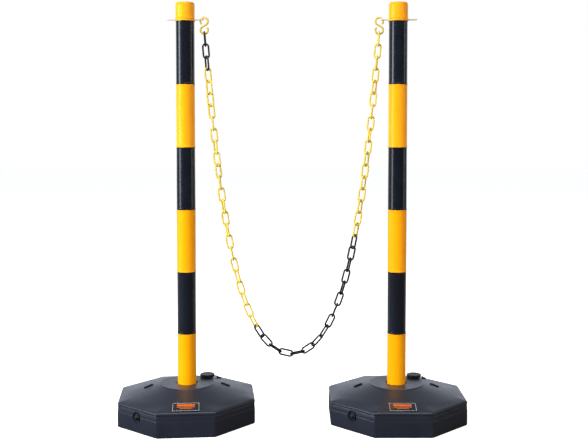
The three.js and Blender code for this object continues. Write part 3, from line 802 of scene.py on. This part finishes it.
def ribbed_cap(ribs, sides):
    """A screw cap: an outline turned round the axis, whose skirt moves in and out by a cosine of
    the rib number times the turn."""
    outline = rounded([
        (0, 6.2, 0), (16.5, 6.2, 0.3), (16.5, 2.3, 0.3), (19.8, 2.3, 0.4), (19.8, 6.9, 0.8),
        (18.8, 8.0, 1.0), (12.0, 8.0, 0.5), (11.4, 7.5, 0.5), (0, 7.5, 0),
    ], 5)
    points, faces = turned(outline, sides, on_axis=True)
    reach = np.hypot(points[:, 0], points[:, 1])
    skirt = np.clip((reach - 0.0186) / 0.001, 0, 1) * np.clip((0.0076 - points[:, 2]) / 0.001, 0, 1)
    ripple = 1 + 0.013 * skirt * np.cos(ribs * np.arctan2(points[:, 1], points[:, 0]))
    points[:, :2] *= ripple[:, None]
    return points, faces


screw_cap = ribbed_cap(CAP_RIBS, 240)
gasket = turned(rounded([(12, 4.7, 0.3), (15.7, 4.7, 0.3), (15.7, 5.9, 0.3), (12, 5.9, 0.3)], 3),
                48)
plug = turned(rounded([
    (0, -14.8, 0), (5.4, -14.8, 0.8), (6.5, -12.6, 0.6), (6.5, -3.8, 0.2), (10, -3.8, 0.5),
    (10, -0.8, 0.9), (6.2, -0.8, 0.8), (5.2, 1.6, 1.4), (4.7, 4.6, 1.4), (3.6, 5.2, 1.2),
    (0, 5.2, 0),
], 5), 48, on_axis=True)
ring_turn = np.linspace(0, 2 * np.pi, 12, endpoint=False)
o_ring = turned(np.stack([0.0079 + 0.0009 * np.cos(ring_turn),
                          -0.0048 + 0.0009 * np.sin(ring_turn)], -1), 40)
print("cap ribs:", CAP_RIBS, "plug length:", round(float(np.ptp(plug[0][:, 2])), 4))

# %% [markdown]
# ## The strap and its button
#
# The strap is a flat band. It leaves the ring round the neck under the cap, arches over the
# hub's edge and comes down the slope to a button. Its side view is a smooth line through five
# points, and its section is a flat oval. A box bent by a modifier would do as well, but the line
# and the section give the whole band in two short formulas.

# %% Strap, ring and button
BUTTON = top_frame(45, BUTTON_REACH)
STRAP_HALF_WIDTH, STRAP_HALF_THICK = 0.0039, 0.0008


def strap_skin():
    """Section (w cos a, t sin a) carried along the arch, with its wide way level and square to
    the strap. Powers below one make the oval nearly a rectangle."""
    to_button = (BUTTON[1] - FILLER[1]) @ FILLER[0].T
    span, rise = math.hypot(to_button[0], to_button[1]), to_button[2]
    side_view = np.array([(0.0172, 0.0011), (0.0212, 0.0004), (span * 0.62, rise * 0.62 + 0.0052),
                          (span * 0.82, rise * 0.82 + 0.0056), (span - 0.001, rise + 0.0028)])
    arch = smooth_line(side_view, 10)
    outward = np.array([to_button[0], to_button[1], 0]) / span
    path = np.outer(arch[:, 0], outward) + np.outer(arch[:, 1], (0, 0, 1))
    forward = unit(np.gradient(path, axis=0))
    wide = np.cross((0, 0, 1), outward)
    thick = np.cross(forward, wide)
    turn = np.linspace(0, 2 * np.pi, 20, endpoint=False)
    flat_cos = np.sign(np.cos(turn)) * np.abs(np.cos(turn)) ** 0.5
    flat_sin = np.sign(np.sin(turn)) * np.abs(np.sin(turn)) ** 0.5
    rings = (path[:, None] + STRAP_HALF_WIDTH * flat_cos[:, None] * wide
             + STRAP_HALF_THICK * flat_sin[:, None] * thick[:, None])
    return closed_skin(rings, [path[0], path[-1]])


tether_ring = turned(rounded([(16.3, 0.4, 0.4), (19, 0.4, 0.4), (19, 1.9, 0.4), (16.3, 1.9, 0.4)],
                             3), 56)
button = turned(rounded([(0, 0.4, 0), (6.8, 0.4, 0.4), (6.8, 2.4, 1.0), (4.6, 4.4, 1.4),
                         (0, 4.5, 0)], 5), 40, on_axis=True)
tether = gathered([carried(tether_ring, *FILLER), carried(strap_skin(), *FILLER),
                   carried(button, *BUTTON)])
print("tether points:", len(tether[0]))

# %% [markdown]
# ## The label
#
# A label could be a picture on a plane. Here it is geometry, so it needs no image: a plate with
# rounded corners, a raised border line, and plain bars in place of any mark.

# %% Label
LABEL = top_frame(270, 0.155)


def rounded_slab(width, height, corner, low, high, centre=(0, 0), soft=0.0002):
    """Slab over a rounded rectangle: |x|, |y| of the outline are the half sizes less the corner
    radius, plus the radius times the cosine and sine of the turn. Its top edge is bevelled."""
    turn = np.linspace(0, 2 * np.pi, 32, endpoint=False) + np.pi / 32
    way = np.stack([np.cos(turn), np.sin(turn)], -1)
    core = np.sign(way) * (width / 2 - corner, height / 2 - corner)
    rings = [np.column_stack([core + way * (corner - inset) + centre, np.full(32, z)])
             for inset, z in ((0, low), (0, high - soft), (soft, high))]
    return closed_skin(np.stack(rings), [(*centre, low), (*centre, high)])


def frame_bars(width, height, bar, low, high):
    """Border as four thin slabs along the plate's edges."""
    x, y = (width - bar) / 2, (height - bar) / 2
    return gathered([rounded_slab(*size, bar * 0.45, low, high, centre) for size, centre in (
        ((width, bar), (0, y)), ((width, bar), (0, -y)),
        ((bar, height), (x, 0)), ((bar, height), (-x, 0)))])


plate = rounded_slab(0.070, 0.038, 0.003, 0.0003, 0.0015)
border = frame_bars(0.0676, 0.0356, 0.0011, 0.0015, 0.0017)
bars = gathered([
    rounded_slab(0.046, 0.0075, 0.0015, 0.0015, 0.0018, (0, 0.0080)),
    rounded_slab(0.046, 0.0030, 0.0010, 0.0015, 0.0018, (0, -0.0005)),
    rounded_slab(0.030, 0.0022, 0.0008, 0.0015, 0.0018, (0, -0.0065)),
])
print("label:", np.round(np.ptp(plate[0], axis=0), 4))

# %% [markdown]
# ## Two bases from one set of parts
#
# Each part was made once, about the middle of a base. Here both sides get their own copies, and
# each copy is tied to the body that it moves with: the filler's cap, its gasket and the drain
# plug move on their own, and all else stays with the base.

# %% Put the bases together
beads = gathered([bead(-1), bead(1)])
# name, skin, its local frame, material, the body it moves with, slot, the node it replaces
FITTINGS = (
    ("slot_beads", beads, None, slot_lip_painted_shade, None, "base_black", None),
    ("filler_neck", neck, FILLER, base_plastic, None, "base_black", None),
    ("filler_tether", tether, None, fitting_plastic, None, "fitting_black", "cap_tether"),
    ("filler_cap", screw_cap, FILLER, fitting_plastic, "filler", "fitting_black", "fill_cap"),
    ("filler_gasket", gasket, FILLER, seal, "gasket", "seal_rubber", "fill_gasket"),
    ("drain_stopper", plug, DRAIN, fitting_plastic, "drain", "fitting_black", "drain_plug"),
    ("drain_ring", o_ring, DRAIN, seal, "drain", "seal_rubber", "drain_o_ring"),
    ("label_plate_film", plate, LABEL, label_film, None, "label_film", "label_plate"),
    ("label_border", border, LABEL, label_border, None, "label_film", None),
    ("label_bars", bars, LABEL, label_orange, None, "label_film", None),
)
for side in ("left", "right"):
    shell = mesh_piece(f"{side}_base", base_mesh, side, base_plastic, "bases")
    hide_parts(f"{side}_base_shell")
    for name, skin, local, material, mover, slot_name, node in FITTINGS:
        points = placed(skin[0], *local) if local else skin[0]
        part = piece(f"{side}_{name}", (stood(points, side), skin[1]), material,
                     f"{side}_{mover}" if mover else "bases")
        if node:
            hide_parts(f"{side}_{node}")
print("pieces on the bases:", 2 * (1 + len(FITTINGS)))

# %% [markdown]
# ## Floor, sky and lights
#
# The set stands on a plain pale floor. Floor and world are white where the camera looks straight
# at them, and dim for every other ray: otherwise a white room would show in every glossy black
# surface and turn it grey. A bright band low behind the set is kept, because it lights the black
# tops of the bases at a glancing angle. A tall soft light at the left gives the long bright
# stripe on the tubes, and a weak one at the right edges the far side. A strip overhead is seen by
# glossy skins only, and draws the thin line on every rim. The fills act on matt skins only, so
# they brighten the yellow without a second stripe; the one at the right is warm.

# %% Floor


def end_tree(tree, to_camera, to_others, output):
    """Ends a node tree with one shader for the camera's own rays and another for all others."""
    ray, choice, end = [tree.nodes.new(kind) for kind in (
        "ShaderNodeLightPath", "ShaderNodeMixShader", output)]
    tree.links.new(ray.outputs["Is Camera Ray"], choice.inputs[0])
    tree.links.new(to_others.outputs[0], choice.inputs[1])
    tree.links.new(to_camera.outputs[0], choice.inputs[2])
    tree.links.new(choice.outputs[0], end.inputs["Surface"])


floor_mesh = bpy.data.meshes.new("floor")
floor_mesh.from_pydata([(-9, -9, 0), (9, -9, 0), (9, 14, 0), (-9, 14, 0)], [], [(0, 1, 2, 3)])
floor = bpy.data.objects.new("floor", floor_mesh)
scene.collection.objects.link(floor)
floor_paint = bpy.data.materials.new("floor_paint")
floor_paint.use_nodes = True
floor_nodes, floor_links = floor_paint.node_tree.nodes, floor_paint.node_tree.links
floor_nodes.clear()
seen = floor_nodes.new("ShaderNodeBsdfDiffuse")
seen.inputs["Color"].default_value = (0.9, 0.9, 0.9, 1)
lifted = floor_nodes.new("ShaderNodeEmission")
lifted.inputs["Strength"].default_value = 0.80
both = floor_nodes.new("ShaderNodeAddShader")
unseen = floor_nodes.new("ShaderNodeBsdfDiffuse")
floor_place = floor_nodes.new("ShaderNodeTexCoord")
floor_split = floor_nodes.new("ShaderNodeSeparateXYZ")
floor_links.new(floor_place.outputs["Object"], floor_split.inputs[0])
floor_grey = map_range(floor_paint.node_tree, floor_split.outputs["Y"], 0.1, 0.6, 0.10, 0.6)
floor_links.new(floor_grey, unseen.inputs["Color"])
floor_links.new(seen.outputs[0], both.inputs[0])
floor_links.new(lifted.outputs[0], both.inputs[1])
end_tree(floor_paint.node_tree, both, unseen, "ShaderNodeOutputMaterial")
floor.data.materials.append(floor_paint)
print("floor corners:", len(floor_mesh.vertices))

# %% World and lights
BACKDROP, DOME = 1.25, (0.07, 0.20)
world = bpy.data.worlds.new("studio")
scene.world = world
world.use_nodes = True
sky, sky_links = world.node_tree.nodes, world.node_tree.links
sky.clear()
direction = sky.new("ShaderNodeTexCoord")
split = sky.new("ShaderNodeSeparateXYZ")
sky_links.new(direction.outputs["Generated"], split.inputs[0])


def sky_ramp(axis, start, end, low, high):
    """A smooth step in one coordinate of the direction."""
    return map_range(world.node_tree, split.outputs[axis], start, end, low, high, "SMOOTHSTEP")


def sky_math(operation, first, second):
    """One sum or product of two values in the sky's node tree."""
    node = sky.new("ShaderNodeMath")
    node.operation = operation
    sky_links.new(first, node.inputs[0])
    sky_links.new(second, node.inputs[1])
    return node.outputs["Value"]


backdrop = sky_math("MULTIPLY", sky_ramp("Y", 0.3, 0.9, 0, BACKDROP),
                    sky_ramp("Z", 0.12, 0.75, 1, 0))
soft_sky = sky.new("ShaderNodeBackground")
soft_sky.inputs["Color"].default_value = (0.82, 0.89, 1.0, 1)
sky_links.new(sky_math("ADD", backdrop, sky_ramp("Z", 0.0, 1.0, *DOME)),
              soft_sky.inputs["Strength"])
white = sky.new("ShaderNodeBackground")
white.inputs["Color"].default_value = (1, 1, 1, 1)
end_tree(world.node_tree, white, soft_sky, "ShaderNodeOutputWorld")


def soft_light(name, place, target, width, height, power, colour, seen_by="both"):
    """A rectangular light that faces its target. It may act on matt skins only, as a fill with no
    reflection, on glossy ones only, as a thin edge light, or on both."""
    data = bpy.data.lights.new(name, "AREA")
    data.shape = "RECTANGLE"
    data.size, data.size_y, data.energy, data.color = width, height, power, colour
    lamp = bpy.data.objects.new(name, data)
    lamp.location = place
    aim = np.asarray(target, float) - np.asarray(place, float)
    lamp.rotation_euler = (math.atan2(math.hypot(aim[0], aim[1]), -aim[2]), 0,
                           math.atan2(aim[1], aim[0]) - math.pi / 2)
    lamp.visible_camera = False
    lamp.visible_glossy, lamp.visible_diffuse = seen_by != "matt", seen_by != "gloss"
    scene.collection.objects.link(lamp)
    return lamp


soft_light("left_tall", (-3.15, -0.95, 1.35), (0, 0, 0.7), 0.85, 1.9, 58, (0.84, 0.91, 1.0))
soft_light("right_tall", (3.3, -0.35, 1.2), (0, 0, 0.6), 0.5, 1.8, 9, (0.84, 0.91, 1.0), "gloss")
soft_light("left_front", (-2.5, -2.3, 1.4), (0, 0, 0.5), 1.6, 1.6, 145, (1.0, 1.0, 0.98), "matt")
soft_light("overhead", (-0.1, 0.2, 3.1), (0, 0, 0.1), 3.2, 1.6, 40, (0.90, 0.95, 1.0), "matt")
soft_light("edge_strip", (0, -1.15, 2.7), (0, 0, 0.1), 3.6, 1.1, 70, (0.90, 0.95, 1.0), "gloss")
soft_light("front_fill", (0.8, -3.6, 1.6), (0, 0, 0.5), 2.4, 1.6, 32, (1.0, 0.97, 0.92), "matt")
soft_light("right_warm", (3.0, -1.8, 1.0), (0, 0, 0.6), 0.9, 2.0, 42, (1.0, 0.76, 0.48), "matt")
scene.view_settings.view_transform = "Standard"
print("lights:", len(bpy.data.lights))

# %% [markdown]
# ## The last update
#
# The finished surfaces should fill the same box as the engineering model. The scene is updated
# once more before the lesson ends.

# %% Finish
bpy.context.view_layer.update()
